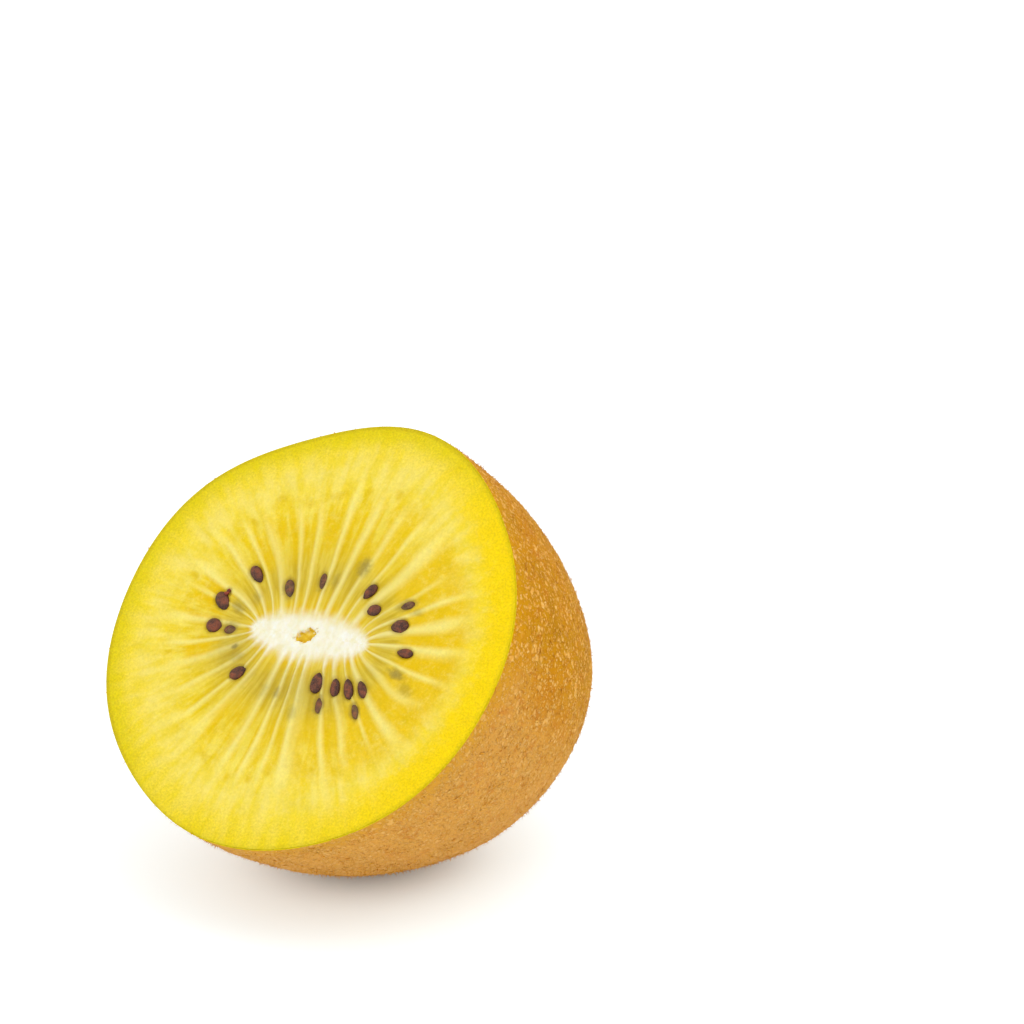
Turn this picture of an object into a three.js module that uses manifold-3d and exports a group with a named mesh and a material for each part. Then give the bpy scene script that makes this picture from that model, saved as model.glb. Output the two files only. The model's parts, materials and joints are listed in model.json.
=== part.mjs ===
// Half of a golden kiwi fruit, cut across its middle and resting on its skin.
// The fruit grew as one piece, so skin, flesh and core are one solid. The seeds that the cut
// lays open are pieces of their own, each loose in its pocket. Millimetres, +Z up.

import * as THREE from 'three';
import { mergeVertices } from 'three/addons/utils/BufferGeometryUtils.js';
import Module from 'manifold-3d';

// ---- the half fruit ----
const RADIUS = 26; // mean radius of the cut face
const LENGTH = 36; // from the cut face to the blossom end
const FULLNESS = 2.2; // how late the side starts to curve in
const BLUNTNESS = 3; // how round the end is
const LEAN = 47.7; // the cut face is tipped this many degrees from level, towards -Y
const SIDE_DRIFT = 0.041; // sideways drift of the long axis, in mm per mm of depth
const UP_DRIFT = 0.098; // the same, towards the top of the cut face
const FLAT_DEPTH = 0.6; // how much the resting spot is flattened

// Waves round the cut face's outline: crests, height in mm, and the angle of a crest in degrees
const OUTLINE_WAVES = [[3, 0.31, -159], [4, 0.26, -58], [5, 0.17, 35], [6, 0.17, 148]];
const END_OVAL = [2, 1.2, 78]; // the section grows this much more oval towards the end

// ---- the pit in the middle of the core ----
const PIT = { at: [-0.3, -0.2], size: [2.6, 1.5, 1.8], turn: 28 };

// ---- the seeds ----
const SEED_GAP = 0.3; // clearance between a seed and its pocket
const SEED_FLATNESS = 0.72; // thickness over width
const SEED_TAPER = 0.24; // how much narrower the pointed end is than the middle
// Each seed: its centre on the cut face, its length and width, the way its point turns in
// degrees, and how far its back stands above the cut
const SEEDS = [
  { at: [-10.1, 5.25], long: 2.5, wide: 1.5, turn: -37, rise: 0.45 },
  { at: [-5.05, 4.6], long: 2.1, wide: 1.1, turn: -60, rise: 0.2 },
  { at: [-1.2, 6.4], long: 1.9, wide: 0.8, turn: -75, rise: 0.1 },
  { at: [5.2, 6.6], long: 2.1, wide: 1.35, turn: 245, rise: 0.4 },
  { at: [6.65, 4.55], long: 2.0, wide: 1.7, turn: 200, rise: 0.35 },
  { at: [10.85, 3.5], long: 2.3, wide: 1.9, turn: 195, rise: 0.5 },
  { at: [13.0, 0.7], long: 2.1, wide: 1.2, turn: 185, rise: 0.4 },
  { at: [-13.0, 1.15], long: 2.6, wide: 1.85, turn: -40, rise: 0.5 },
  { at: [-12.7, -1.75], long: 2.15, wide: 1.95, turn: 10, rise: 0.5 },
  { at: [-10.4, -1.75], long: 1.5, wide: 1.0, turn: 15, rise: 0.1 },
  { at: [-6.9, -6.4], long: 2.2, wide: 1.65, turn: 45, rise: 0.45 },
  { at: [3.6, -5.2], long: 2.6, wide: 1.8, turn: 103, rise: 0.5 },
  { at: [6.1, -5.15], long: 2.3, wide: 1.35, turn: 113, rise: 0.4 },
  { at: [7.85, -4.9], long: 2.65, wide: 1.3, turn: 122, rise: 0.4 },
  { at: [9.6, -4.55], long: 2.35, wide: 1.2, turn: 130, rise: 0.35 },
  { at: [5.1, -7.6], long: 1.9, wide: 0.95, turn: 110, rise: 0.1 },
  { at: [9.9, -7.2], long: 1.8, wide: 0.75, turn: 125, rise: 0.1 },
  { at: [10.7, 6.1], long: 1.6, wide: 0.85, turn: 210, rise: 0.1 },
];

// ---- how finely the surfaces are divided ----
const AROUND = 64;
const ALONG = 18;
const SEED_AROUND = 10;
const SEED_ALONG = 7;

const radians = THREE.MathUtils.degToRad;
const { Manifold, Mesh: SolidMesh } = await loadSolids();

async function loadSolids() {
  const wasm = await Module();
  wasm.setup();
  return wasm;
}

function wave([crests, height, crest], angle) {
  return height * Math.cos(crests * angle - radians(crest));
}

// Radius of the fruit's section at an angle and at a depth below the cut face
function sectionRadius(angle, depth) {
  const outline = OUTLINE_WAVES.reduce((sum, each) => sum + wave(each, angle), RADIUS);
  return outline + (depth / LENGTH) * wave(END_OVAL, angle);
}

// Share of the full section that is left at a depth below the cut face
function narrowing(depth) {
  return Math.max(0, 1 - (depth / LENGTH) ** FULLNESS) ** (1 / BLUNTNESS);
}

// The whole half as a turned shape, then given its uneven outline and drifting axis.
// Its cut face lies in the XY plane and looks up; the blossom end points down.
function fruitBody() {
  const profile = [new THREE.Vector2(0, 0)];
  for (let i = 0; i < ALONG; i++) {
    const depth = LENGTH * (1 - (1 - i / ALONG) ** 2.2);
    profile.push(new THREE.Vector2(narrowing(depth), -depth));
  }
  profile.push(new THREE.Vector2(0, -LENGTH));
  const body = new THREE.LatheGeometry(profile.reverse(), AROUND);
  body.rotateX(Math.PI / 2);
  const points = body.attributes.position;
  for (let i = 0; i < points.count; i++) {
    const share = Math.hypot(points.getX(i), points.getY(i));
    const angle = Math.atan2(points.getY(i), points.getX(i));
    const depth = -points.getZ(i);
    const reach = share * sectionRadius(angle, depth);
    const x = reach * Math.cos(angle) + SIDE_DRIFT * depth;
    const y = reach * Math.sin(angle) + UP_DRIFT * depth;
    points.setXYZ(i, x, y, -depth);
  }
  return body;
}

// An egg-shaped seed lying along X, its pointed end at +X, swollen by a margin all round
function seedShape({ long, wide }, margin = 0) {
  const seed = new THREE.SphereGeometry(1, SEED_AROUND, SEED_ALONG);
  seed.rotateZ(-Math.PI / 2);
  const points = seed.attributes.position;
  const thick = wide * SEED_FLATNESS;
  for (let i = 0; i < points.count; i++) {
    const along = points.getX(i);
    const taper = 1 - SEED_TAPER * along;
    const x = along * (long / 2 + margin);
    const y = points.getY(i) * (wide / 2 * taper + margin);
    const z = points.getZ(i) * (thick / 2 * taper + margin);
    points.setXYZ(i, x, y, z);
  }
  return seed;
}

function placeOnCut(object, { at, wide, turn, rise }) {
  object.position.set(at[0], at[1], rise - wide * SEED_FLATNESS / 2);
  object.rotation.z = radians(turn);
  object.updateMatrix();
  return object;
}

function pitShape() {
  const pit = new THREE.SphereGeometry(1, 14, 8);
  pit.scale(PIT.size[0] / 2, PIT.size[1] / 2, PIT.size[2]);
  pit.rotateZ(radians(PIT.turn));
  return pit.translate(PIT.at[0], PIT.at[1], 0);
}

// A closed solid from a geometry, with its doubled points merged
function solid(geometry, matrix = new THREE.Matrix4()) {
  const bare = geometry.clone().applyMatrix4(matrix);
  bare.deleteAttribute('normal');
  bare.deleteAttribute('uv');
  const merged = mergeVertices(bare, 1e-5);
  const corners = merged.index.array;
  const triangles = [];
  for (let i = 0; i < corners.length; i += 3) {
    const [a, b, c] = corners.slice(i, i + 3);
    if (a !== b && b !== c && c !== a) triangles.push(a, b, c);
  }
  return new Manifold(new SolidMesh({
    numProp: 3,
    vertProperties: merged.attributes.position.array,
    triVerts: new Uint32Array(triangles),
  }));
}

function geometryOf(body) {
  const mesh = body.getMesh();
  const geometry = new THREE.BufferGeometry();
  geometry.setAttribute('position', new THREE.BufferAttribute(mesh.vertProperties, 3));
  geometry.setIndex(new THREE.BufferAttribute(mesh.triVerts, 1));
  geometry.computeVertexNormals();
  return geometry;
}

function part(name, geometry, color, roughness) {
  const material = new THREE.MeshStandardMaterial({ color, roughness, metalness: 0 });
  const mesh = new THREE.Mesh(geometry, material);
  mesh.name = name;
  return mesh;
}

// The leaning frame that holds the half: its own Z is the cut face's normal
function leaningFrame(body) {
  const frame = new THREE.Group();
  frame.rotation.x = radians(LEAN);
  frame.updateMatrixWorld();
  const box = new THREE.Box3().setFromBufferAttribute(
    body.clone().applyMatrix4(frame.matrixWorld).attributes.position);
  frame.position.z = -box.min.z - FLAT_DEPTH;
  frame.updateMatrixWorld();
  return frame;
}

// A slab below the resting surface, seen from the leaning frame
function surfaceBelow(frame) {
  const slab = new THREE.BoxGeometry(4 * RADIUS, 4 * RADIUS, RADIUS).translate(0, 0, -RADIUS / 2);
  return solid(slab, frame.matrixWorld.clone().invert());
}

function kiwiHalf(frame, body) {
  let half = solid(body).subtract(surfaceBelow(frame)).subtract(solid(pitShape()));
  for (const seed of SEEDS) {
    const pocket = placeOnCut(new THREE.Object3D(), seed);
    half = half.subtract(solid(seedShape(seed, SEED_GAP), pocket.matrix));
  }
  return part('kiwi_half', geometryOf(half), 0xd3a038, 0.75);
}

function seedMesh(seed, number) {
  const name = `seed_${String(number + 1).padStart(2, '0')}`;
  return placeOnCut(part(name, geometryOf(solid(seedShape(seed))), 0x5c3628, 0.4), seed);
}

const fruit = new THREE.Group();
const body = fruitBody();
const frame = leaningFrame(body);
frame.add(kiwiHalf(frame, body), ...SEEDS.map(seedMesh));
fruit.add(frame);

// The origin is under the middle of the half, on the surface it rests on
const middle = new THREE.Box3().setFromObject(fruit, true).getCenter(new THREE.Vector3());
frame.position.x -= middle.x;
frame.position.y -= middle.y;
fruit.updateMatrixWorld(true);

export default fruit;
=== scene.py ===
"""Visual model of half a golden kiwi fruit, cut across its middle and resting on its skin.

Every piece is modelled in millimetres in the frame of the cut face: the origin is the middle
of the cut, Z is its normal and the blossom end points down. HalfForm then turns each finished
piece and hangs it where the CAD model has it, in metres.
"""

import json
import logging
import math
from dataclasses import dataclass, field
from enum import Enum
from typing import Callable, ClassVar

import bpy
import numpy as np
from mathutils import Euler, Matrix, Vector

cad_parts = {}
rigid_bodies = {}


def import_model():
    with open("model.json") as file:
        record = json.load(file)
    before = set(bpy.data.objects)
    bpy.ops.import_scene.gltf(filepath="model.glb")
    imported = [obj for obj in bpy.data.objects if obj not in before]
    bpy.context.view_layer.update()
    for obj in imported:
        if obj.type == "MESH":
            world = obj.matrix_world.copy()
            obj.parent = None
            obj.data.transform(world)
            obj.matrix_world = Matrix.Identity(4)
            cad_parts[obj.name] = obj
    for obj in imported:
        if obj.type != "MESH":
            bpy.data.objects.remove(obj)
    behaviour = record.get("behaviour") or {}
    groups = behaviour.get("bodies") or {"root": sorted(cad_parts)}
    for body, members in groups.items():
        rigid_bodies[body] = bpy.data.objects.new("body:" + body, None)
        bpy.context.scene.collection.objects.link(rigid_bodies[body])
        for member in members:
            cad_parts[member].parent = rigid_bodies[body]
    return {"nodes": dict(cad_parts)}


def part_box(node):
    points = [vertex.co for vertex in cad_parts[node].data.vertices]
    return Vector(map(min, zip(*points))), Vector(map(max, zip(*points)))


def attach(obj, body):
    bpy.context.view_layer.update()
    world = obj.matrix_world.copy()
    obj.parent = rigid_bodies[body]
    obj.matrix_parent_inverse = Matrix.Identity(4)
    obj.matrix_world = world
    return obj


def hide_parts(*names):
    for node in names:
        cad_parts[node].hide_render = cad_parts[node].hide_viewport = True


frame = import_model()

MILLIMETRE = 0.001
SAME_PLACE = 0.0005  # points of a turned piece that are closer than this, in mm, become one
STUDIO_LIGHT = 1.22  # how much stronger the light is than one that shows a colour as it is
BODY = "root"
HALF_NODE = "kiwi_half"
SEED_GAP = "seed_gap"  # attribute: how far the flesh is from the nearest seed, in mm
SEED_CROWN = "seed_crown"  # attribute: height on a seed of unit size, 1 at its top

# Colours of the cut: mm from its middle, then red, green and blue as the eye sees them
DEEP_ROOM = (
    (0.0, 232, 204, 80), (3.2, 232, 190, 20), (5.0, 219, 184, 36), (6.8, 205, 173, 40),
    (8.4, 206, 174, 34), (10.5, 218, 184, 20), (13.0, 232, 197, 0), (15.5, 240, 207, 6),
    (18.0, 243, 213, 40), (20.5, 245, 219, 62), (23.0, 245, 218, 44), (25.0, 240, 213, 24))
PALE_ROOM = (
    (0.0, 242, 226, 140), (4.0, 236, 208, 72), (6.5, 224, 196, 66), (9.0, 231, 204, 72),
    (12.0, 240, 212, 62), (16.0, 247, 224, 88), (20.5, 250, 228, 108), (23.0, 248, 223, 80),
    (25.0, 245, 219, 56))
RAY = (
    (0.0, 250, 244, 214), (5.0, 244, 231, 150), (10.0, 247, 231, 132), (16.0, 252, 236, 134),
    (21.0, 252, 231, 100))

log = logging.getLogger("golden_kiwi_half")


class Slot(Enum):
    """Material slots of the record."""

    SKIN = "skin"
    FLESH = "flesh"
    SEED = "seed"


class Grid(Enum):
    """How finely a turned piece is divided round its axis."""

    FINE = 512
    MEDIUM = 400
    COARSE = 96


def colour(red: float, green: float, blue: float) -> tuple[float, float, float, float]:
    """Turns a colour as the eye sees it in the studio, 0 to 255, into a surface's own."""
    linear = [((c / 255 + 0.055) / 1.055) ** 2.4 if c > 10 else c / 255 / 12.92
              for c in (red, green, blue)]
    return (*(value / STUDIO_LIGHT for value in linear), 1.0)


# ---------------------------------------------------------------------------
# Node trees
# ---------------------------------------------------------------------------


def operator(operation: str, swapped: bool = False) -> Callable[..., "Value"]:
    """Makes a method of Value that adds one Math node.

    Args:
        operation: The node's operation.
        swapped: Whether the value comes second, as in 1 - value.

    Returns:
        The method.
    """
    def method(value: "Value", *others: "Value | float") -> "Value":
        """Adds the node."""
        numbers = (value, *others)
        return value.graph.math(operation, *(numbers[::-1] if swapped else numbers))
    return method


class Value:
    """A number in a node tree. An expression on values adds its Math nodes."""

    __add__ = operator("ADD")
    __radd__ = operator("ADD", swapped=True)
    __sub__ = operator("SUBTRACT")
    __rsub__ = operator("SUBTRACT", swapped=True)
    __mul__ = operator("MULTIPLY")
    __rmul__ = operator("MULTIPLY", swapped=True)
    __truediv__ = operator("DIVIDE")
    __pow__ = operator("POWER")
    __abs__ = operator("ABSOLUTE")
    __round__ = operator("ROUND")

    def __init__(self, graph: "Graph", socket: bpy.types.NodeSocket) -> None:
        """Wraps a socket of a graph."""
        self.graph = graph
        self.socket = socket


class Graph:
    """Adds nodes to a shader tree or a geometry tree."""

    def __init__(self, tree: bpy.types.NodeTree) -> None:
        """Starts on a node tree."""
        self.tree = tree

    def add(self, kind: str, settings: dict | None = None,
            inputs: dict | None = None) -> bpy.types.Node:
        """Adds one node.

        Args:
            kind: The node's type.
            settings: Its properties, set first; a ramp's stops are under "stops".
            inputs: Numbers, colours or links for its sockets, by name or index.

        Returns:
            The new node.
        """
        node = self.tree.nodes.new(kind)
        for name, value in (settings or {}).items():
            if name == "stops":
                self._set_stops(node.color_ramp, value)
            else:
                setattr(node, name, value)
        for name, value in (inputs or {}).items():
            self.feed(node.inputs[name], value)
        return node

    def feed(self, socket: bpy.types.NodeSocket, value: object) -> None:
        """Links a value to a socket, or sets the socket to it.

        Args:
            socket: The input socket.
            value: A Value, an output socket, a number or a colour.
        """
        if isinstance(value, Value):
            value = value.socket
        if isinstance(value, bpy.types.NodeSocket):
            self.tree.links.new(value, socket)
        else:
            socket.default_value = value

    @staticmethod
    def _set_stops(ramp: bpy.types.ColorRamp, stops: list) -> None:
        """Gives a colour ramp its stops.

        Args:
            ramp: The ramp, with its first two stops.
            stops: Place and colour of each stop.
        """
        while len(ramp.elements) > 1:
            ramp.elements.remove(ramp.elements[-1])
        ramp.elements[0].position, ramp.elements[0].color = stops[0]
        for place, shade in stops[1:]:
            ramp.elements.new(place).color = shade

    def math(self, operation: str, *values: "Value | float") -> Value:
        """Adds a Math node on one to three numbers."""
        node = self.add("ShaderNodeMath", {"operation": operation}, dict(enumerate(values)))
        return Value(self, node.outputs[0])

    def smooth(self, value: Value, low: "Value | float", high: "Value | float") -> Value:
        """Rises smoothly from 0 where value is low to 1 where it is high."""
        node = self.add("ShaderNodeMapRange", {"interpolation_type": "SMOOTHSTEP"},
                        {0: value, 1: low, 2: high})
        return Value(self, node.outputs[0])

    def fade(self, value: Value, near: "Value | float", far: "Value | float") -> Value:
        """Falls smoothly from 1 where value is near to 0 where it is far."""
        return 1 - self.smooth(value, near, far)

    def distance(self, x: Value, y: Value) -> Value:
        """Distance of a place in a plane from its origin."""
        return self.math("SQRT", x * x + y * y)

    def turned(self, x: Value, y: Value, middle: tuple[float, float],
               degrees: float) -> tuple[Value, Value]:
        """Coordinates of a place along and across an axis.

        Args:
            x: The place's X.
            y: The place's Y.
            middle: A point of the axis.
            degrees: How far the axis is turned from X.

        Returns:
            How far the place is from the middle, along the axis and across it.
        """
        angle = math.radians(degrees)
        dx, dy = x - middle[0], y - middle[1]
        return (dx * math.cos(angle) + dy * math.sin(angle),
                dy * math.cos(angle) - dx * math.sin(angle))

    def vector(self, x: object = 0.0, y: object = 0.0, z: object = 0.0) -> object:
        """Joins three numbers into a vector."""
        node = self.add("ShaderNodeCombineXYZ", None, {"X": x, "Y": y, "Z": z})
        return node.outputs[0]

    def split(self, vector: object) -> tuple[Value, Value, Value]:
        """Splits a vector into its three numbers."""
        node = self.add("ShaderNodeSeparateXYZ", None, {0: vector})
        return tuple(Value(self, out) for out in node.outputs)

    def noise(self, where: object, scale: float, detail: float = 2.0,
              roughness: float = 0.5) -> Value:
        """Soft noise between 0 and 1.

        Args:
            where: Vector that the noise is read at.
            scale: Bumps per unit of that vector.
            detail: Finer layers on top of the first.
            roughness: Strength of the finer layers.

        Returns:
            The noise, with a mean of about 0.5.
        """
        node = self.add("ShaderNodeTexNoise", None, {
            "Vector": where, "Scale": scale, "Detail": detail, "Roughness": roughness})
        return Value(self, node.outputs[0])

    def cells(self, where: object, scale: float) -> Value:
        """Distance to the nearest of many scattered points."""
        node = self.add("ShaderNodeTexVoronoi", None, {"Vector": where, "Scale": scale})
        return Value(self, node.outputs["Distance"])

    def spots(self, where: object, scale: float) -> tuple[Value, Value, Value]:
        """Distance to the nearest of many scattered points, and two lucks of that point.

        Args:
            where: Vector that the points are looked for at.
            scale: Points per unit of that vector.

        Returns:
            The distance, and two numbers that look random and belong to the point.
        """
        node = self.add("ShaderNodeTexVoronoi", None, {"Vector": where, "Scale": scale})
        luck, other, _ = self.split(node.outputs["Color"])
        return Value(self, node.outputs["Distance"]), luck, other

    def blur(self, where: object, scale: float, reach: float) -> object:
        """Shifts a place by soft noise, so that what is drawn there gets a ragged edge.

        Args:
            where: The place.
            scale: Bumps of the noise per unit of the place.
            reach: How far a place is shifted at most.

        Returns:
            The shifted place.
        """
        node = self.add("ShaderNodeTexNoise", None, {
            "Vector": where, "Scale": scale, "Detail": 2.0})
        spread = self.add("ShaderNodeVectorMath", {"operation": "SUBTRACT"}, {
            0: node.outputs["Color"], 1: (0.5, 0.5, 0.5)})
        shifted = self.add("ShaderNodeVectorMath", {"operation": "MULTIPLY_ADD"}, {
            0: spread.outputs[0], 1: (reach, reach, reach), 2: where})
        return shifted.outputs[0]

    def chance(self, number: Value) -> Value:
        """A number between 0 and 1 that looks random and depends only on the given one."""
        node = self.add("ShaderNodeTexWhiteNoise", {"noise_dimensions": "1D"}, {"W": number})
        return Value(self, node.outputs["Value"])

    def mix(self, share: object, first: object, second: object,
            blend: str = "MIX") -> bpy.types.NodeSocket:
        """Mixes two colours, with share of the second."""
        node = self.add("ShaderNodeMix", {"data_type": "RGBA", "blend_type": blend},
                        {0: share, 6: first, 7: second})
        return node.outputs[2]

    def tint(self, share: object, shade: object, *paint: int) -> bpy.types.NodeSocket:
        """Covers a share of a colour with a paint of some red, green and blue."""
        return self.mix(share, shade, colour(*paint))

    def ramp(self, value: Value, marks: tuple, reach: float = 1.0) -> bpy.types.NodeSocket:
        """Colour that runs through marks as a value goes from 0 to 1.

        Args:
            value: The value.
            marks: Place, red, green and blue of each mark.
            reach: Place of a mark where the value is 1.

        Returns:
            The colour.
        """
        stops = [(place / reach, colour(*paint)) for place, *paint in marks]
        return self.add("ShaderNodeValToRGB", {"stops": stops}, {0: value}).outputs["Color"]

    def object_place(self) -> bpy.types.NodeSocket:
        """Coordinates in the piece's own frame, in metres."""
        return self.add("ShaderNodeTexCoord").outputs["Object"]

    def attribute(self, name: str) -> Value:
        """A number that the mesh carries."""
        node = self.add("ShaderNodeAttribute", {"attribute_name": name})
        return Value(self, node.outputs["Fac"])

    def bump(self, strength: float, distance: float, height: Value) -> bpy.types.NodeSocket:
        """Normal of a surface with a fine relief, its full height a distance in metres."""
        node = self.add("ShaderNodeBump", None,
                        {"Strength": strength, "Distance": distance, "Height": height})
        return node.outputs[0]


class GeometryRecipe:
    """A geometry-nodes modifier on one object, applied as soon as it is finished."""

    def __init__(self, piece: bpy.types.Object, name: str) -> None:
        """Starts an empty recipe.

        Args:
            piece: The object that is changed.
            name: Name of the modifier.
        """
        self.piece = piece
        self.tree = bpy.data.node_groups.new(name, "GeometryNodeTree")
        for flow in ("INPUT", "OUTPUT"):
            self.tree.interface.new_socket("Geometry", in_out=flow,
                                           socket_type="NodeSocketGeometry")
        self.graph = Graph(self.tree)
        self.shape = self.graph.add("NodeGroupInput").outputs[0]
        self.modifier = piece.modifiers.new(name, "NODES")
        self.modifier.node_group = self.tree

    def place(self) -> bpy.types.NodeSocket:
        """Place of each point."""
        return self.graph.add("GeometryNodeInputPosition").outputs[0]

    def move(self, **where: object) -> None:
        """Moves each point to a Position, or by an Offset."""
        node = self.graph.add("GeometryNodeSetPosition", None, {"Geometry": self.shape, **where})
        self.shape = node.outputs[0]

    def finish(self) -> bpy.types.Object:
        """Applies the modifier.

        Returns:
            The changed object.
        """
        out = self.graph.add("NodeGroupOutput")
        self.graph.feed(out.inputs[0], self.shape)
        select_only(self.piece)
        bpy.ops.object.modifier_apply(modifier=self.modifier.name)
        bpy.data.node_groups.remove(self.tree)
        return self.piece


# ---------------------------------------------------------------------------
# Modelling helpers
# ---------------------------------------------------------------------------


def select_only(piece: bpy.types.Object) -> None:
    """Selects one object and makes it the active one.

    Args:
        piece: The object.
    """
    for other in bpy.context.view_layer.objects:
        other.select_set(other is piece)
    bpy.context.view_layer.objects.active = piece


def deselect_all() -> None:
    """Deselects every object, as is needed before a primitive is added."""
    bpy.ops.object.select_all(action="DESELECT")


def copy_piece(model: bpy.types.Object, name: str, change: Matrix) -> bpy.types.Object:
    """Copies a piece, with a mesh of its own.

    Args:
        model: The piece.
        name: Name of the copy.
        change: Shapes and places the copy's mesh.

    Returns:
        The copy.
    """
    piece = model.copy()
    piece.data = model.data.copy()
    piece.name = name
    bpy.context.scene.collection.objects.link(piece)
    piece.data.transform(change)
    return piece


def roughen(piece: bpy.types.Object, name: str, grain: float, height: float) -> None:
    """Pushes a piece's surface in and out by soft noise.

    Args:
        piece: The piece.
        name: Name of the noise.
        grain: Size of its lumps.
        height: How far it pushes.
    """
    select_only(piece)
    lumps = piece.modifiers.new(name, "DISPLACE")
    lumps.texture = bpy.data.textures.new(name, "CLOUDS")
    lumps.texture.noise_scale = grain
    lumps.strength = height
    bpy.ops.object.modifier_apply(modifier=lumps.name)


def turn_profile(name: str, profile: list[tuple[float, float]], grid: Grid) -> bpy.types.Object:
    """Extrudes one point along a profile and spins the line round Z.

    Args:
        name: Name of the piece.
        profile: Radius and height of each point of the line, in mm.
        grid: How many steps the spin has.

    Returns:
        The turned piece, its doubles merged and its faces pointing out.
    """
    deselect_all()
    bpy.ops.mesh.primitive_plane_add(size=1.0)
    piece = bpy.context.object
    piece.name = name
    bpy.ops.object.mode_set(mode="EDIT")
    bpy.ops.mesh.merge(type="CENTER")
    here = (0.0, 0.0)
    for number, point in enumerate(profile):
        step = (point[0] - here[0], 0.0, point[1] - here[1])
        if number == 0:
            bpy.ops.transform.translate(value=step)
        else:
            bpy.ops.mesh.extrude_vertices_move(TRANSFORM_OT_translate={"value": step})
        here = point
    bpy.ops.mesh.select_all(action="SELECT")
    bpy.ops.mesh.spin(steps=grid.value, angle=math.tau, center=(0, 0, 0), axis=(0, 0, 1))
    bpy.ops.mesh.select_all(action="SELECT")
    bpy.ops.mesh.remove_doubles(threshold=SAME_PLACE)
    bpy.ops.mesh.normals_make_consistent(inside=False)
    bpy.ops.object.mode_set(mode="OBJECT")
    put_in_order(piece.data)
    bpy.ops.object.shade_smooth()
    return piece


def put_in_order(mesh: bpy.types.Mesh) -> None:
    """Numbers faces and corners in a fixed order, so that hairs scatter alike in each run.

    Args:
        mesh: The mesh, which keeps its shape.
    """
    places = [tuple(vertex.co) for vertex in mesh.vertices]
    faces = []
    for face in mesh.polygons:
        corners = list(face.vertices)
        first = corners.index(min(corners))
        faces.append(corners[first:] + corners[:first])
    mesh.clear_geometry()
    mesh.from_pydata(places, [], sorted(faces))
    mesh.update()


def steps(count: int, start: float, end: float, ease: float = 1.0) -> list[float]:
    """Numbers from start to end, closer together near the end where ease is above 1."""
    return [start + (end - start) * (1 - (1 - i / count) ** ease) for i in range(count + 1)]


# ---------------------------------------------------------------------------
# The half's form
# ---------------------------------------------------------------------------


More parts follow.
